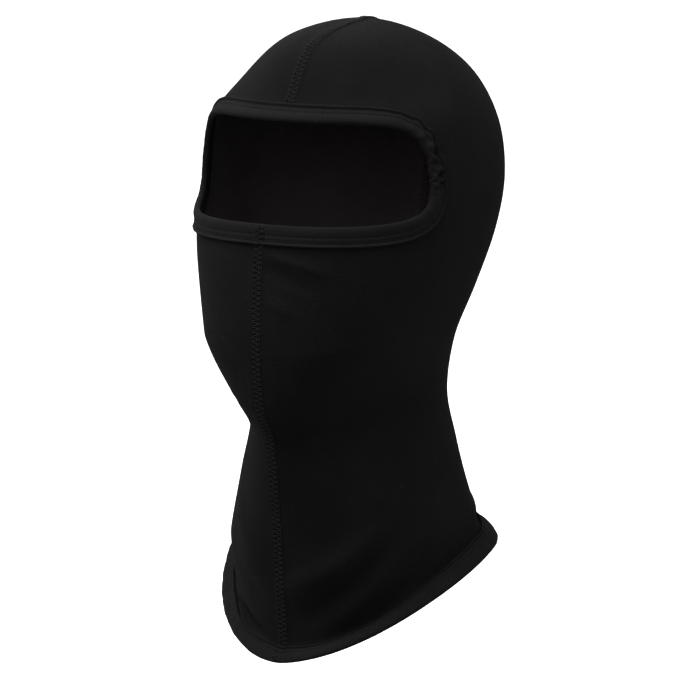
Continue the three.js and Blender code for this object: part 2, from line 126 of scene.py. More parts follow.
def add_node(material, kind, inputs=(), **settings):
    """Adds a shader node, sets its properties, and sets or links its inputs by name or number."""
    made = material.node_tree.nodes.new(kind)
    for key, value in settings.items():
        setattr(made, key, value)
    for key, value in dict(inputs).items():
        if isinstance(value, bpy.types.NodeSocket):
            material.node_tree.links.new(value, made.inputs[key])
        else:
            made.inputs[key].default_value = value
    return made


def new_material(name):
    """Returns an empty node material and its output node."""
    material = bpy.data.materials.new(name)
    material.use_nodes = True
    material.node_tree.nodes.clear()
    return material, add_node(material, "ShaderNodeOutputMaterial")


floor_material, floor_output = new_material("white_floor")
floor_paint = add_node(floor_material, "ShaderNodeBsdfPrincipled", {
    "Base Color": (0.85, 0.85, 0.85, 1), "Roughness": 0.9,
    "Emission Color": (1, 1, 1, 1), "Emission Strength": 1.1})
floor_material.node_tree.links.new(floor_paint.outputs[0], floor_output.inputs[0])
floor_reach, floor_gap = 20, 0.12
turn, reach = np.meshgrid(np.linspace(0, 2 * np.pi, 65), [0.0, 1.0, floor_reach], indexing="ij")
floor_points = np.stack([
    reach * np.cos(turn), -reach * np.sin(turn), np.full(turn.shape, cad_low.z - floor_gap)], -1)
floor = mesh_of_grid("floor", floor_points, material=floor_material)
floor.visible_diffuse = False
floor.visible_glossy = False

world = bpy.data.worlds.new("studio")
world.use_nodes = True
# The backdrop is pure white where it is seen, and dimmer as a light, as if it stood far behind.
backdrop_light, backdrop_seen = 0.25, 1.05
backdrop = world.node_tree.nodes["Background"].inputs
backdrop["Color"].default_value = (1, 1, 1, 1)
seen = world.node_tree.nodes.new("ShaderNodeLightPath").outputs["Is Camera Ray"]
strength = world.node_tree.nodes.new("ShaderNodeMapRange")
strength.inputs["To Min"].default_value = backdrop_light
strength.inputs["To Max"].default_value = backdrop_seen
world.node_tree.links.new(seen, strength.inputs["Value"])
world.node_tree.links.new(strength.outputs[0], backdrop["Strength"])
bpy.context.scene.world = world

for lamp_name, lamp_azimuth, lamp_elevation, lamp_power, lamp_size in (
        ("left_softbox", -47, 46, 10.5, 1.1),
        ("right_softbox", 120, 30, 3.0, 1.1),
        ("front_softbox", 15, 30, 3.0, 0.8),
        ("top_softbox", 20, 78, 12.0, 1.1),
        ("rim_softbox", -128, 35, 4.5, 1.1)):
    lamp = bpy.data.objects.new(lamp_name, bpy.data.lights.new(lamp_name, "AREA"))
    lamp.data.energy = lamp_power
    lamp.data.size = lamp_size
    turned, raised = math.radians(lamp_azimuth), math.radians(lamp_elevation)
    towards = np.array([
        math.sin(turned) * math.cos(raised), -math.cos(turned) * math.cos(raised), math.sin(raised)])
    side = np.array([math.cos(turned), math.sin(turned), 0])
    lamp.matrix_world = Matrix.Translation(centre + 1.5 * towards) @ Matrix(
        np.stack([side, np.cross(towards, side), towards], 1).tolist()).to_4x4()
    bpy.context.scene.collection.objects.link(lamp)

scene = bpy.context.scene
scene.view_settings.view_transform = "Standard"
scene.view_settings.look = "None"

# ---- The head form ----
# Jersey has no shape of its own: it takes the shape of the head that fills it, from the crown to the
# shoulders. The form is thirteen level sections: crown, top, hairline, brow, eyes, cheekbones, mouth,
# chin, throat, neck, collar, hem stitching and hem, in percent of its length, breadth and drops.
panel_low, panel_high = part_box("left_panel")
head_length = (panel_high.y - panel_low.y) / 1.088
head_breadth = panel_high.x * 2 / 1.02
front_drop = -panel_low.z / 1.003
back_drop = front_drop * 0.836
hem_section = 12


def section_curve(percents, size, odd=False):
    """Returns a smooth curve through one measure of the sections, as a function of the section.
    Each stretch is the cubic whose slope at a section is half the difference of its neighbours. Above
    the crown the measures repeat, with their sign changed where they lie across the head."""
    sign = -1 if odd else 1
    table = np.array([sign * percents[2], sign * percents[1], *percents]) * size / 100

    def curve(down):
        place = np.clip(np.asarray(down, float) + 2, 0, len(table) - 1)
        first = np.minimum(place.astype(int), len(table) - 2)
        t = place - first
        a, b, c, d = (table[np.clip(first + step, 0, len(table) - 1)] for step in (-1, 0, 1, 2))
        return b + t * ((c - a) / 2 + t * (a - 2.5 * b + 2 * c - d / 2 + t * (1.5 * (b - c) + (d - a) / 2)))
    return curve


front_fall = section_curve([0, 1.5, 9.5, 13.5, 24, 34, 48, 57, 63, 73.5, 86, 98.5, 100], front_drop)
back_fall = section_curve([0, 3, 10, 21.5, 32, 42.5, 51.5, 63, 74.5, 83, 92, 96.5, 100], back_drop)
front_reach = section_curve(
    [0, 31, 46, 53.5, 62, 67, 69.5, 68.5, 63.5, 62, 60.5, 60, 68], head_length, odd=True)
back_reach = section_curve([0, 12, 27, 38, 38.5, 35, 30, 25, 20, 14.5, 10, 8, 11.5], head_length, odd=True)
half_breadth = section_curve(
    [0, 46, 80.5, 96.5, 101, 95, 81, 66.5, 62, 73, 86, 92, 104], head_breadth / 2, odd=True)
widest_place = section_curve([0, 2, 3, 4, 4, 6, 8.5, 11.5, 12.5, 11.5, 10, 8, 7], head_length, odd=True)
front_fullness = [2, 2, 2.1, 2.2, 2.2, 2.4, 2.6, 1.9, 1.6, 1.8, 2, 1.7, 1.7]


def form(around, down):
    """Returns the points of the head form at angles around it and sections down it.
    Each half section is a superellipse: the share of the breadth and the share of the depth, each to
    the power of the section's fullness, add up to one. Its height slopes from the front fall to the
    back fall. Near the hem three bell curves of the angle settle it on the shoulders: it flares less at
    the front, lies closer and lower on the wearer's right, and rides a little up on the left."""
    around, down = np.broadcast_arrays(np.asarray(around, float), np.asarray(down, float))
    middle = -widest_place(down)
    ahead = np.cos(around) > 0
    depth = np.where(ahead, front_reach(down) + middle, back_reach(down) - middle)
    power = np.where(ahead, np.interp(down, np.arange(len(front_fullness)), front_fullness), 2)
    share_across = np.abs(np.sin(around)) / np.maximum(half_breadth(down), 1e-6)
    share_along = np.abs(np.cos(around)) / np.maximum(depth, 1e-6)
    radius = (share_across ** power + share_along ** power) ** (-1 / power)
    y = middle - radius * np.cos(around)
    length = np.maximum(front_reach(down) + back_reach(down), 1e-6)
    slope = np.clip((y + front_reach(down)) / length, 0, 1)
    z = -front_fall(down) * (1 - slope) - back_fall(down) * slope
    near_hem = np.clip(down - 10.5, 0, 1.5) / 1.5

    def side_bell(middle, reach):
        """Returns a bell curve of the angle from a middle one, growing down to the hem."""
        return near_hem * np.exp(-((np.angle(np.exp(1j * (around - middle)))) / reach) ** 2)
    flare = np.clip(down - 11, 0, 1) * np.exp(-((np.angle(np.exp(1j * around)) + 0.25) / 0.55) ** 2)
    x = radius * np.sin(around) + 0.0022 * side_bell(-1.15, 0.5)
    z = z - 0.0026 * side_bell(-0.35, 0.55) + 0.0022 * side_bell(0.95, 0.65)
    return np.stack([x, y + 0.0070 * flare, z], -1)


def directions(around, down):
    """Returns the form's directions around and down it, by small differences, and the unit direction
    straight out of it, which is down crossed with around."""
    step = 1e-3
    down = np.clip(down, 2 * step, hem_section - step)
    round_it = (form(around + step, down) - form(around - step, down)) / (2 * step)
    down_it = (form(around, down + step) - form(around, down - step)) / (2 * step)
    out = np.cross(down_it, round_it)
    return round_it, down_it, out / np.maximum(np.linalg.norm(out, axis=-1, keepdims=True), 1e-12)


# ---- The jersey panels ----
# Two mirrored halves of thin stretch jersey, cut from one flat piece each and joined down the face and
# over the crown. The cloth is a fine plain knit of matt black yarn, 0.6 mm thick, a little fuzzy.
cloth_thickness = 0.0006
band_width = 0.011
eye_end_angle = math.radians(53.4)
eye_section, eye_rise, eye_fall, eye_corner_dip = 3.75, 1.07, 0.59, 0.17
eye_top_fullness, eye_bottom_fullness = 3, 3.5
# How far a radian and a section reach over the cloth, by the eyes and on average.
eye_radian, eye_reach = 0.077, 0.027
mean_radian, mean_reach = 0.075, 0.028


def bell(distance):
    """Returns a bell curve: one at no distance, and e to the minus square of the distance elsewhere."""
    return np.exp(-np.square(distance))


def crease(around, down, start, end, width, lift):
    """Returns how far a crease lifts the cloth between two places, given in degrees and sections.
    Across its line the lift falls off as a bell curve of the width, and along it as half a sine."""
    scale = np.array([mean_radian * math.pi / 180, mean_reach])
    first, last = np.array(start) * scale, np.array(end) * scale
    place = np.stack(np.broadcast_arrays(np.degrees(around) * scale[0], down * scale[1]), -1) - first
    line = last - first
    along = np.clip(place @ line / (line @ line), 0, 1)
    beside = np.linalg.norm(place - along[..., None] * line, axis=-1)
    return lift * bell(beside / width) * np.sin(np.pi * np.clip(along, 0.02, 0.98)) ** 0.6


def turned_to(around, degrees):
    """Returns how far an angle lies from another in degrees, the short way round."""
    return np.degrees(np.angle(np.exp(1j * (around - math.radians(degrees)))))


def folds(around, down):
    """Returns how far the cloth's soft folds lift it, the sum of its creases and of broad swells."""
    around, down = np.broadcast_arrays(np.asarray(around, float), np.asarray(down, float))
    around = np.angle(np.exp(1j * around))
    lift = 0.0
    for start, end, width, height in (
            # Under the eye opening, pulled from the front seam towards the wearer's left.
            ((1, 4.78), (20, 5.07), 0.0020, 0.0017),
            ((1, 4.98), (16, 5.27), 0.0022, -0.0011),
            ((3, 5.38), (10, 5.52), 0.0016, 0.0011),
            # Under the chin, where the cloth turns in to the throat.
            ((-14, 6.75), (-2, 7.05), 0.004, 0.0012),
            # Down the neck, slanting from the front seam up to the wearer's left.
            ((1, 10.25), (36, 9.6), 0.0048, 0.0034),
            ((6, 10.62), (38, 9.98), 0.0042, -0.0030),
            ((14, 10.75), (46, 10.1), 0.0046, 0.0024),
            ((30, 11.0), (62, 10.35), 0.0045, -0.0017),
            # The same pull on the wearer's right.
            ((-4, 9.9), (-30, 9.3), 0.0060, 0.0016),
            ((-6, 10.4), (-34, 9.9), 0.0050, -0.0014),
            # At the nape, where the cloth gathers above the shoulders.
            ((92, 10.5), (128, 10.0), 0.0050, 0.0014),
            ((100, 10.95), (140, 10.55), 0.0045, -0.0014),
            ((-96, 10.4), (-134, 9.9), 0.0050, 0.0014)):
        lift = lift + crease(around, down, start, end, width, height)
    groove = 0.0018 * bell((down - 11.05) / 0.28) * bell(turned_to(around, 68) / 34)
    swell = 0.0006 * np.sin(3 * around + 1.9 * down) * np.sin(0.8 * down + 0.6) * np.clip(down - 5, 0, 1)
    behind_ear = bell(turned_to(np.abs(around), 105) / 42)
    swell = swell + behind_ear * (0.0013 * bell((down - 5) / 3.4) + 0.0012 * bell((down - 8.7) / 1.1))
    return lift - groove + swell


def off_form(around, down, height, lift):
    """Returns points at a height and a lift straight out of the form."""
    return form(around, down) + (height + lift)[..., None] * directions(around, down)[2]


def above_hem(around, distance):
    """Returns the section at a distance above the finished hem, walked up the form in small steps."""
    around, distance = np.broadcast_arrays(np.asarray(around, float), np.asarray(distance, float))
    down = np.full(around.shape, float(hem_section))
    for _ in range(6):
        down = down - distance / 6 / np.linalg.norm(directions(around, down)[1], axis=-1)
    return down


def cloth(around, down, height=0.0, lift=0.0):
    """Returns points of the cloth at a height out of it.
    It follows the form and its folds, and is straight under the hem's stiff folded band: there a point
    slides evenly from the band's upper edge to the hem."""
    around, down, height, lift = np.broadcast_arrays(
        *(np.asarray(value, float) for value in (around, down, height, lift)))
    band_top = above_hem(around, band_width)
    upper_down = np.minimum(down, band_top)
    upper = off_form(around, upper_down, height, lift + folds(around, upper_down))
    lower = off_form(around, np.full(down.shape, float(hem_section)), height, 0 * lift)
    share = np.clip((down - band_top) / (hem_section - band_top), 0, 1)[..., None]
    return upper * (1 - share) + lower * share


def seam_rise(around, down, under):
    """Returns how far the overlapped edges of the panels stand up at the seams: level over the seam's
    width, and falling to nothing within half a millimetre beside it. Of the two edges the one that is
    sewn under the other dips by a little over the cloth's thickness next to the seam's middle."""
    beside = np.abs(np.sin(around)) * np.maximum(half_breadth(down), 1e-4)
    return 0.00035 / (1 + (beside / 0.0027) ** 10) - under * 0.00072 / (1 + (beside / 0.0013) ** 8)


def opening_side(around, down, margin):
    """Returns how far places lie outside the eye opening's cut, in metres, negative inside it.
    The cut is a superellipse in angle and section, and the distance is its level over its slope."""
    side = around / (eye_end_angle + margin / eye_radian)
    bottom = eye_fall + eye_corner_dip * side ** 2
    rise = np.where(down < eye_section, eye_rise, bottom) + margin / eye_reach
    power = np.where(down < eye_section, eye_top_fullness, eye_bottom_fullness)
    level = np.abs(side) ** power + np.abs((down - eye_section) / rise) ** power
    slope_across = power * np.abs(side) ** (power - 1) / (eye_end_angle * eye_radian)
    slope_down = power * np.abs((down - eye_section) / rise) ** (power - 1) / (rise * eye_reach)
    return (level - 1) / np.maximum(np.hypot(slope_across, slope_down), 1e-6)


def arc_lengths():
    """Returns the sections and the length of cloth from the crown down to each, over the ear."""
    sections = np.linspace(0, hem_section, 600)
    steps = np.linalg.norm(np.diff(form(math.pi / 2, sections), axis=0), axis=-1)
    return sections, np.concatenate([[0], np.cumsum(steps)])


lint_colour = (0.06, 0.06, 0.059, 1)


def jersey_material(name, dark, light, wale, course, sheen):
    """Makes a plain knit: loops in columns and rows on the cloth's own UV map, in metres.
    A column's height is a tent across its wale, and a loop's legs are a sine along the course that the
    tent delays into a V. Noise gives the fuzz and the slight changes of colour, and a few specks of lint
    are the middles of sparse Voronoi cells."""
    material, output = new_material(name)

    def calculate(operation, first, second=0.0, third=0.0):
        values = {0: first, 1: second, 2: third}
        return add_node(material, "ShaderNodeMath", values, operation=operation).outputs[0]
    place = add_node(material, "ShaderNodeTexCoord").outputs
    axes = add_node(material, "ShaderNodeSeparateXYZ", {0: place["UV"]}).outputs
    tent = calculate("DIVIDE", calculate("PINGPONG", axes["X"], wale / 2), wale / 2)
    rows = calculate("MULTIPLY_ADD", tent, 0.5, calculate("DIVIDE", axes["Y"], course))
    legs = calculate("SINE", calculate("MULTIPLY", rows, 2 * math.pi))
    loops = calculate("MULTIPLY_ADD", legs, 0.35, calculate("POWER", tent, 0.6))
    fuzz = add_node(material, "ShaderNodeTexNoise", {
        "Vector": place["Object"], "Scale": 1400.0, "Detail": 3.0, "Roughness": 0.7}).outputs["Fac"]
    surface = calculate("MULTIPLY_ADD", fuzz, 0.9, loops)
    ripple = add_node(material, "ShaderNodeTexNoise", {
        "Vector": place["Object"], "Scale": 70.0, "Detail": 4.0, "Roughness": 0.55}).outputs["Fac"]
    fine = add_node(material, "ShaderNodeBump", {
        "Height": surface, "Strength": 0.9, "Distance": 0.00018}).outputs[0]
    bump = add_node(material, "ShaderNodeBump", {
        "Height": ripple, "Strength": 0.35, "Distance": 0.0012, "Normal": fine}).outputs[0]
    cloud = add_node(material, "ShaderNodeTexNoise", {
        "Vector": place["Object"], "Scale": 26.0, "Detail": 5.0, "Roughness": 0.6}).outputs["Fac"]
    yarn = add_node(material, "ShaderNodeMapRange", {
        "Value": calculate("MULTIPLY_ADD", fuzz, 0.5, calculate("MULTIPLY", cloud, 0.5)),
        "From Min": 0.35, "From Max": 0.65}).outputs[0]
    colour = add_node(material, "ShaderNodeMix", {
        0: yarn, 6: (*dark, 1), 7: (*light, 1)}, data_type="RGBA").outputs[2]
    cells = add_node(material, "ShaderNodeTexVoronoi", {"Vector": place["Object"], "Scale": 95.0}).outputs
    chosen = calculate("GREATER_THAN", add_node(
        material, "ShaderNodeSeparateColor", {0: cells["Color"]}).outputs[0], 0.88)
    speck = calculate("MULTIPLY", chosen, calculate("LESS_THAN", cells["Distance"], 0.030))
    speckled = add_node(material, "ShaderNodeMix", {
        0: speck, 6: colour, 7: lint_colour}, data_type="RGBA").outputs[2]
    shader = add_node(material, "ShaderNodeBsdfPrincipled", {
        "Base Color": speckled, "Roughness": 0.85, "Specular IOR Level": 0.05, "Normal": bump,
        "Sheen Weight": sheen, "Sheen Roughness": 0.42, "Sheen Tint": (0.62, 0.62, 0.66, 1)})
    material.node_tree.links.new(shader.outputs[0], output.inputs[0])
    return material


jersey = jersey_material(
    "black_jersey", (0.0075, 0.0072, 0.0078), (0.0125, 0.0119, 0.0130),
    wale=0.0008, course=0.0006, sheen=0.035)
# The back of the knit, inside the hood, is painted much paler than the face: painted light, standing in for
# the light that fills the inside of the hood.
inside_painted_light = jersey_material(
    "jersey_inside_painted_light", (0.066, 0.056, 0.058), (0.094, 0.081, 0.084),
    wale=0.0012, course=0.0009, sheen=0.05)

lengths_down = arc_lengths()
cut_margin = 0.0035
columns, rows = 176, 250
# The edges run a little past each other, and the columns crowd together towards them.
overlap, crowding = 0.009, 0.58
# Points this near the edge of the cut are moved onto it, and faces this far inside it are left out.
snap_reach, cut_slack = 0.0011, 2e-4
tuck_depth, tuck_fall, tuck_middle, tuck_reach = 0.0072, 0.0034, -19, 9
for side_name, first_angle in (("left", 0.0), ("right", -math.pi)):
    even = np.linspace(0, 1, columns)
    angles = first_angle - overlap + (math.pi + 2 * overlap) * (
        even - crowding * np.sin(2 * math.pi * even) / (2 * math.pi))
    sections = np.interp(
        np.linspace(0, lengths_down[1][-1], rows), lengths_down[1], lengths_down[0])
    sections[-1] = hem_section - 0.06
    around, down = np.meshgrid(angles, sections, indexing="ij")
    # The edge of the cut is made smooth by moving the points beside it onto it.
    for _ in range(3):
        outside = opening_side(around, down, cut_margin)
        step = 1e-4
        slope = np.stack([
            (opening_side(around + step, down, cut_margin) - outside) / (step * eye_radian),
            (opening_side(around, down + step, cut_margin) - outside) / (step * eye_reach)], -1)
        steepness = np.maximum((slope ** 2).sum(-1), 1e-6)
        move = np.where(np.abs(outside) < snap_reach, -outside / steepness, 0)[..., None] * slope
        around = around + move[..., 0] / eye_radian
        down = down + move[..., 1] / eye_reach
    outside = opening_side(around, down, cut_margin)
    corners = [outside[:-1, :-1], outside[1:, :-1], outside[1:, 1:], outside[:-1, 1:]]
    keep = np.minimum.reduce(corners) > -cut_slack
    # Beside the hem's band on the wearer's right the cloth falls in behind it.
    band_top = above_hem(around, band_width)
    over_band = (band_top - down) * np.linalg.norm(directions(around, band_top)[1], axis=-1)
    tuck = -tuck_depth * bell(over_band / tuck_fall) * bell(turned_to(around, tuck_middle) / tuck_reach)
    points = cloth(around, down, seam_rise(around, down, under=side_name == "right"), tuck)
    girth = np.maximum(half_breadth(down), 1e-4)
    uv = np.stack([
        (around - first_angle - math.pi / 2) * girth, np.interp(down, *lengths_down)], -1)
    panel = mesh_of_grid(f"{side_name}_jersey", points, keep=keep, uv=uv, weld=True, material=jersey)
    wall = panel.modifiers.new("thickness", "SOLIDIFY")
    wall.thickness = cloth_thickness
    wall.offset = -1
    # The inner shell takes the inside jersey, painted paler as painted light.
    panel.data.materials.append(inside_painted_light)
    wall.material_offset = 1
    wall.material_offset_rim = 1
    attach(panel, "root")
    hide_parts(f"{side_name}_panel")

# ---- The bands ----
# The eye opening and the hem are bound with a strip of the same jersey, folded round the raw edge. It
# makes a soft roll at the edge, two stitched grooves and a thin raised lip where the strip turns under.
band_cloth = 0.00072
row_places = (0.0058, 0.0083)
# The band's jersey is painted paler than the panels': painted light, for the light its rolled surface catches
# from above.
band_jersey_painted_paler = jersey_material(
    "band_jersey_painted_paler", (0.0105, 0.0098, 0.0102), (0.0165, 0.0152, 0.0158),
    wale=0.0009, course=0.0007, sheen=0.045)


def band_surface(distance):
    """Returns the height of the band's outer layer, at its middle, at distances from the finished edge:
    a broad roll near the edge, a dip at each row of stitches, a groove and then the raised lip."""
    mm = distance * 1000
    roll = 0.60 * bell((mm - 2.5) / 2.2)
    dips = sum(0.70 * bell((mm - row_place * 1000) / 0.42) for row_place in row_places)
    lip = 0.78 * bell((mm - 10.4) / 0.55) - 0.60 * bell((mm - 9.35) / 0.4)
    return (1.15 + roll - dips + lip) / 1000


def band_profile(points):
    """Returns a band's closed outline as distances from the finished edge and heights out of the cloth.
    A middle line runs down the outer layer, round the fold and up the inner layer, and the outline is
    that line moved out and in by half the cloth."""
    fold_start, lip_end, inner_end, inner_height, roundness = 0.0013, 0.0108, 0.0094, -0.00135, 0.8
    outer = np.linspace(lip_end, fold_start, points)
    fold = np.linspace(0, np.pi, 9)[1:-1]
    radius = (band_surface(fold_start) - inner_height) / 2
    inner = np.linspace(fold_start, inner_end, points // 3)
    line = np.concatenate([
        np.stack([outer, band_surface(outer)], -1),
        np.stack([
            fold_start - roundness * radius * np.sin(fold),
            inner_height + radius * (1 + np.cos(fold))], -1),
        np.stack([inner, np.full(inner.shape, inner_height)], -1)])
    along = np.gradient(line, axis=0)
    along /= np.linalg.norm(along, axis=-1, keepdims=True)
    beside = np.stack([-along[:, 1], along[:, 0]], -1) * band_cloth / 2
    end = along * band_cloth * 0.3
    return np.concatenate([
        line - beside, line[-1:] + end[-1:], (line + beside)[::-1], line[:1] - end[:1]])


def eye_place(turn, distance):
    """Returns the angle and section at a distance outside the eye opening's edge.
    The edge is a superellipse round the opening, and from it a point walks across the form in small
    steps, square to the edge."""
    turn, distance = np.broadcast_arrays(np.asarray(turn, float), np.asarray(distance, float))

    def edge(at):
        power = np.where(np.sin(at) > 0, eye_top_fullness, eye_bottom_fullness)
        size = (np.abs(np.cos(at)) ** power + np.abs(np.sin(at)) ** power) ** (-1 / power)
        side = size * np.cos(at)
        rise = np.where(np.sin(at) > 0, eye_rise, eye_fall + eye_corner_dip * side ** 2)
        return eye_end_angle * side, eye_section - rise * size * np.sin(at)
    around, down = edge(turn)
    before, after = edge(turn - 1e-3), edge(turn + 1e-3)
    for _ in range(4):
        round_it, down_it, out = directions(around, down)
        along = (after[0] - before[0])[..., None] * round_it + (after[1] - before[1])[..., None] * down_it
        outwards = np.cross(along, out)
        outwards /= np.linalg.norm(outwards, axis=-1, keepdims=True)
        a, b, c = (
            (u * v).sum(-1) for u, v in ((round_it, round_it), (round_it, down_it), (down_it, down_it)))
        p, q = (outwards * round_it).sum(-1), (outwards * down_it).sum(-1)
        area = a * c - b * b
        around = around + (p * c - q * b) / area * distance / 4
        down = down + (q * a - p * b) / area * distance / 4
    return around, down


def eye_pucker(turn, distance):
    """Returns how a pull at the wearer's left end twists the eye band: the pull there, a bell curve of
    the turn, its slanting wrinkles, sines that lag across the band, and the lift they give."""
    turn = np.angle(np.exp(1j * turn))
    pull = bell((turn - 0.22) / 0.40)
    waves = np.sin(turn * 27 - distance * 420 + 1.5 * np.sin(turn * 11))
    waves = waves + 0.6 * np.sin(turn * 47 + distance * 300)
    gentle = 0.10 * np.sin(turn * 23 + distance * 200) + 0.07 * np.sin(turn * 57 + 2)
    return pull, waves, 0.00100 * pull * waves + 0.00055 * gentle * (1 - pull)


def on_eye_band(turn, distance, height):
    """Returns points of the eye band at distances from its finished edge and heights out of the cloth."""
    turn, distance, height = np.broadcast_arrays(
        *(np.asarray(value, float) for value in (turn, distance, height)))
    pull, waves, lift = eye_pucker(turn, distance)
    around, down = eye_place(turn, distance * (1 - 0.20 * pull) + 0.0005 * pull * waves)
    outer = np.clip(height / 0.0008, 0, 1)
    return cloth(around, down, height + lift * outer)


def on_hem_band(turn, distance, height):
    """Returns points of the hem band, which is soft enough to wave a little along its length, and whose
    lip stands off the cloth where that falls in behind it."""
    turn, distance, height = np.broadcast_arrays(
        *(np.asarray(value, float) for value in (turn, distance, height)))
    off = 0.0022 * bell(turned_to(turn, -19) / 11) * np.clip(distance / band_width, 0, 1)
    wave = (0.00012 * np.sin(turn * 31 + distance * 260) + 0.00008 * np.sin(turn * 67 + 1)) * np.clip(
        height / 0.0008, 0, 1)
    down = above_hem(turn, distance)
    return cloth(turn, down, height + off + wave)


band_rings = 660
band_joins = {"eye": -math.pi / 2, "hem": 0.0}
for band_name, on_band, cut_length in (("eye", on_eye_band, 0.44), ("hem", on_hem_band, 0.50)):
    outline = band_profile(44)
    join = band_joins[band_name]
    turns = np.linspace(join, join + 2 * math.pi, band_rings, endpoint=False)
    turn, distance = np.meshgrid(turns, outline[:, 0], indexing="ij")
    height = np.broadcast_to(outline[:, 1], turn.shape)
    ends_meet = 0.00035 * bell(turned_to(turn, math.degrees(join)) / 0.7) * np.sign(height)
    points = on_band(turn, distance, height - ends_meet * (np.abs(height) > 0.0005))
    # The eye band's outline runs round it the other way from the hem's.
    if band_name == "eye":
        points = points[::-1]
    profile_length = np.concatenate([[0], np.cumsum(np.linalg.norm(np.diff(outline, axis=0), axis=-1))])
    ring_length = np.linspace(0, cut_length, band_rings)
    uv = np.stack(np.meshgrid(ring_length, profile_length, indexing="ij"), -1)
    band = mesh_of_grid(f"{band_name}_band", points, closed=(True, True), uv=uv, material=band_jersey_painted_paler)
    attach(band, "root")
    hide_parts(f"{band_name}_binding")

# ---- The flatlock seams ----
# The panels' edges overlap and are sewn flat: four needle threads lie in rows on top, a covering thread
# crosses them in a zigzag, and a looper thread zigzags inside. The front seam crosses both bands.
seam_width, needle_rows = 0.0052, 4
needle_stitch, cover_stitch = 0.0024, 0.0014


def thread_material(name, colour, ply):
    """Makes spun polyester: plies that wind round the thread, a sine of the turn plus the length. The grooves
    between the plies are painted darker, as painted shade.
    """
    material, output = new_material(name)
    place = add_node(material, "ShaderNodeTexCoord").outputs
    axes = add_node(material, "ShaderNodeSeparateXYZ", {0: place["UV"]}).outputs
    wound = add_node(material, "ShaderNodeMath", {
        0: axes["X"], 1: 2 * math.pi / ply, 2: axes["Y"]}, operation="MULTIPLY_ADD").outputs[0]
    plies = add_node(material, "ShaderNodeMath", {0: wound}, operation="SINE").outputs[0]
    bump = add_node(material, "ShaderNodeBump", {
        "Height": plies, "Strength": 0.5, "Distance": 0.00005}).outputs[0]
    # Painted shade: the colour darkens where the plies' sine is low, in the grooves between them.
    shade = add_node(material, "ShaderNodeMapRange", {
        "Value": plies, "From Min": -1.0, "From Max": 1.0, "To Min": 0.0, "To Max": 1.0}).outputs[0]
    colour_with_painted_shade = add_node(material, "ShaderNodeMix", {
        0: shade, 6: tuple(0.7 * c for c in colour) + (1,), 7: (*colour, 1)}, data_type="RGBA").outputs[2]
    shader = add_node(material, "ShaderNodeBsdfPrincipled", {
        "Base Color": colour_with_painted_shade, "Roughness": 0.55, "Specular IOR Level": 0.10, "Normal": bump,
        "Sheen Weight": 0.02, "Sheen Roughness": 0.4})
    material.node_tree.links.new(shader.outputs[0], output.inputs[0])
    return material


black_thread = thread_material("black_thread", (0.0230, 0.0215, 0.0220), ply=0.0007)


def thread_piece(name, path, out, radius, node_name, sides=5):
    """Makes a round thread along a path and puts it in place of a CAD node.
    Each ring is the path's point plus the radius times a circle square to the path, and the rings at
    both ends shrink to a point."""
    along = np.gradient(path, axis=0)
    along /= np.maximum(np.linalg.norm(along, axis=-1, keepdims=True), 1e-12)
    side = np.cross(along, out)
    side /= np.maximum(np.linalg.norm(side, axis=-1, keepdims=True), 1e-12)
    up = np.cross(side, along)
    turn = np.linspace(0, 2 * np.pi, sides, endpoint=False)[None, :, None]
    rings = path[:, None] + radius * (np.cos(turn) * side[:, None] - np.sin(turn) * up[:, None])
    rings = np.concatenate([np.repeat(path[:1, None], sides, 1), rings, np.repeat(path[-1:, None], sides, 1)])
    length = np.concatenate([[0, 0], np.cumsum(np.linalg.norm(np.diff(path, axis=0), axis=-1)), [0]])
    length[-1] = length[-2]
    uv = np.stack(np.meshgrid(length, turn.ravel(), indexing="ij"), -1)
    thread = mesh_of_grid(name, rings, closed=(False, True), uv=uv, weld=True, material=black_thread)
    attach(thread, "root")
    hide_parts(node_name)
    return thread


def even_steps(place, first, last, count):
    """Returns count values from first to last at which the points of place lie evenly spaced."""
    fine = np.linspace(first, last, 3000)
    lengths = np.concatenate([[0], np.cumsum(np.linalg.norm(np.diff(place(fine), axis=0), axis=-1))])
    return np.interp(np.linspace(0, lengths[-1], count), lengths, fine), lengths[-1]


def stitch_arch(count, points):
    """Returns the rise of each point of a row of stitches, 1 in the middle of a stitch and below 0 where
    the thread goes down into the cloth: a half sine, stretched and lowered."""
    return 1.6 * np.abs(np.sin(np.pi * count * np.linspace(0, 1, points))) - 0.6


def zigzag(crossings, points, sharpness):
    """Returns a zigzag from side to side, 1 at its corners: a sine made nearly straight by an arcsine."""
    swing = np.sin(np.pi * crossings * np.linspace(0, 1, points))
    return np.arcsin(sharpness * swing) / math.asin(sharpness)


eye_foot = eye_place(-math.pi / 2, 0.0)[1].item()
eye_brow = eye_place(math.pi / 2, band_width + 0.0012)[1].item()
eye_foot_scale = np.linalg.norm(directions(0.0, eye_foot)[1])
hem_top = above_hem(0.0, band_width).item()


def seam_base(travel, crosses_bands):
    """Returns the height of what lies under a seam's threads: the panels' overlapped edges, or a band's
    outer layer where the front seam crosses one."""
    edges = np.full(travel.shape, 0.00035)
    if not crosses_bands:
        return edges
    from_eye = (travel - eye_foot) * eye_foot_scale
    from_hem = (hem_section - travel) / (hem_section - hem_top) * band_width
    over = band_cloth / 2 + 0.0001
    on_eye = np.where(from_eye < band_width, band_surface(from_eye) + over, 0)
    on_hem = np.where(from_hem < band_width, band_surface(from_hem) + over, 0)
    return np.maximum(edges, np.maximum(on_eye, on_hem))


def seam_point(travel, crosses_bands, offset=0.0, height=0.0):
    """Returns points beside the middle of a seam, and the directions out of it there.
    Places along the seam are sections, negative over the forehead, and heights are over what lies under
    the threads, or below the cloth's middle where they are negative."""
    around = np.where(travel < 0, 0.0, 0.0 if crosses_bands else math.pi)
    base = seam_base(travel, crosses_bands) if np.max(height) > 0 else 0.0
    points = cloth(around, np.abs(travel), base + height)
    points[..., 0] += offset
    return points, directions(around, np.abs(travel))[2]


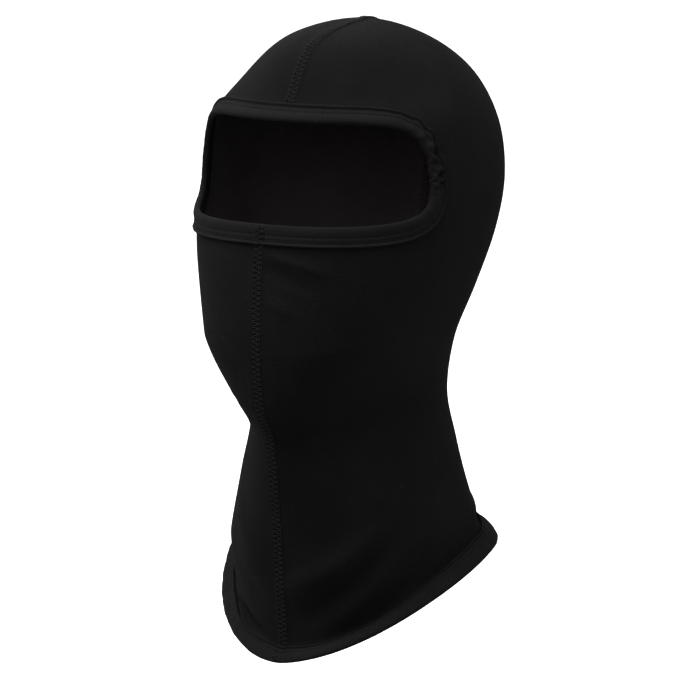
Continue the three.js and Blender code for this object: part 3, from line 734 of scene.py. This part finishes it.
seams = {
    "front_seam": (eye_foot + 0.02, hem_section - 0.03, True),
    "crown_seam": (-eye_brow, above_hem(math.pi, band_width + 0.0015).item(), False)}
needle_radius, cover_radius, looper_radius = 0.00022, 0.00022, 0.00013
needle_sink, needle_arch, cover_height, looper_height = 0.00002, 0.00030, 0.00046, -0.0012
for seam_name, (first, last, crosses_bands) in seams.items():
    def middle(travel):
        """Returns the points of this seam's middle."""
        return seam_point(travel, crosses_bands)[0]

    seam_length = even_steps(middle, first, last, 10)[1]
    stitches = round(seam_length / needle_stitch)
    points = stitches * 7 + 1
    travel = even_steps(middle, first, last, points)[0]
    for row in range(needle_rows):
        offset = (row / (needle_rows - 1) - 0.5) * (seam_width - 0.0006)
        height = needle_sink + needle_arch * stitch_arch(stitches, points)
        path, out = seam_point(travel, crosses_bands, offset, height)
        thread_piece(
            f"{seam_name}_needle_row_{row + 1}", path, out, needle_radius,
            f"{seam_name}_needle_thread_{row + 1}")
    crossings = round(seam_length / cover_stitch)
    points = crossings * 6 + 1
    travel = even_steps(middle, first, last, points)[0]
    beside = zigzag(crossings, points, 0.97) * seam_width / 2
    for thread_name, height, radius, sides in (
            ("cover", cover_height, cover_radius, 5), ("looper", looper_height, looper_radius, 4)):
        path, out = seam_point(travel, crosses_bands, beside, height)
        thread_piece(
            f"{seam_name}_{thread_name}_zigzag", path, out, radius,
            f"{seam_name}_{thread_name}_thread", sides=sides)

# ---- The bands' stitching ----
# Two needle threads hold each band down through all its layers, in short even stitches that sink into
# the cloth, and a looper thread links them inside.
row_stitch, looper_stitch = 0.0021, 0.0024
row_radius, row_arch, row_sink = 0.00025, 0.00050, 0.00010
row_looper_radius, row_looper_height = 0.00014, -0.00195
# A row starts and ends just beside the front seam, where the band's ends meet.
end_gap = 0.03
for band_name, on_band in (("eye", on_eye_band), ("hem", on_hem_band)):
    first = band_joins[band_name] + end_gap
    last = band_joins[band_name] + 2 * math.pi - end_gap
    for row, distance in enumerate(row_places):
        def along_row(turn):
            """Returns the points of this row, on the band's surface."""
            return on_band(turn, distance, 0.001)

        row_length = even_steps(along_row, first, last, 10)[1]
        stitches = round(row_length / row_stitch)
        points = stitches * 6 + 1
        turn = even_steps(along_row, first, last, points)[0]
        surface = band_surface(distance) + band_cloth / 2
        height = surface + row_arch * stitch_arch(stitches, points) - row_sink
        path = on_band(turn, distance, height)
        out = path - on_band(turn, distance, height - 0.0005)
        thread_piece(
            f"{band_name}_band_stitches_{row + 1}", path, out, row_radius,
            f"{band_name}_binding_needle_thread_{row + 1}")
    crossings = round(row_length / looper_stitch)
    points = crossings * 4 + 1
    turn = even_steps(lambda at: on_band(at, row_places[0], 0.001), first, last, points)[0]
    distance = np.mean(row_places) + zigzag(crossings, points, 0.95) * np.ptp(row_places) / 2
    path = on_band(turn, distance, row_looper_height)
    out = path - on_band(turn, distance, row_looper_height - 0.00055)
    thread_piece(
        f"{band_name}_band_looper", path, out, row_looper_radius,
        f"{band_name}_binding_looper_thread", sides=4)

# ---- The care label ----
# A blank tape of smooth woven polyester is sewn inside the nape by its upper edge, and its lower edge
# curls a little off the cloth.
label_width, label_height = 0.032, 0.022
label_section, label_side_gap, nape_radian = 9.0, 0.006, 0.052


def label_point(across, down, height):
    """Returns points of the label, inside the wearer's left half of the nape, from its upper corner next
    to the crown seam. It lifts off the cloth with the square of the way down."""
    share = np.asarray(down, float) / label_height
    section = label_section + down / np.linalg.norm(directions(math.pi, label_section)[1])
    around = math.pi - (label_side_gap + across) / nape_radian
    curl = 0.0022 * share ** 2 + 0.0004 * np.sin(across * 260) * share
    return cloth(around, section, -0.0016 - curl - height)


across, down = np.meshgrid(
    np.linspace(0, label_width, 40), np.linspace(0, label_height, 28), indexing="ij")
tape, tape_output = new_material("woven_tape")
place = add_node(tape, "ShaderNodeTexCoord").outputs
weave = [
    add_node(tape, "ShaderNodeTexWave", {"Vector": place["UV"], "Scale": 420.0, "Distortion": 0.4},
             wave_type="BANDS", bands_direction=direction).outputs["Fac"] for direction in ("X", "Y")]
woven = add_node(tape, "ShaderNodeMath", {0: weave[0], 1: weave[1]}, operation="MULTIPLY").outputs[0]
tape_bump = add_node(tape, "ShaderNodeBump", {
    "Height": woven, "Strength": 0.4, "Distance": 0.00005}).outputs[0]
# Painted shade: the tape is coloured darker where its weave lies low and paler where it rises.
tape_colour_painted_shade = add_node(tape, "ShaderNodeMix", {
    0: woven, 6: (0.016, 0.016, 0.017, 1), 7: (0.026, 0.026, 0.027, 1)}, data_type="RGBA").outputs[2]
tape_shader = add_node(tape, "ShaderNodeBsdfPrincipled", {
    "Base Color": tape_colour_painted_shade, "Roughness": 0.5, "Normal": tape_bump})
tape.node_tree.links.new(tape_shader.outputs[0], tape_output.inputs[0])
label = mesh_of_grid(
    "blank_care_label", label_point(across, down, 0.0), uv=np.stack([across, down], -1), material=tape)
label_wall = label.modifiers.new("thickness", "SOLIDIFY")
label_wall.thickness = 0.0003
label_wall.offset = -1
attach(label, "root")
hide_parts("care_label")
stitches = 14
stitch_inset = 0.003
points = stitches * 6 + 1
travel = np.linspace(stitch_inset, label_width - stitch_inset, points)
path = label_point(travel, stitch_inset, 0.00035 + 0.0002 * stitch_arch(stitches, points))
out = path - label_point(travel, stitch_inset, 0.0)
label_thread = thread_piece("care_label_stitches", path, out, 0.00016, "care_label_stitch")
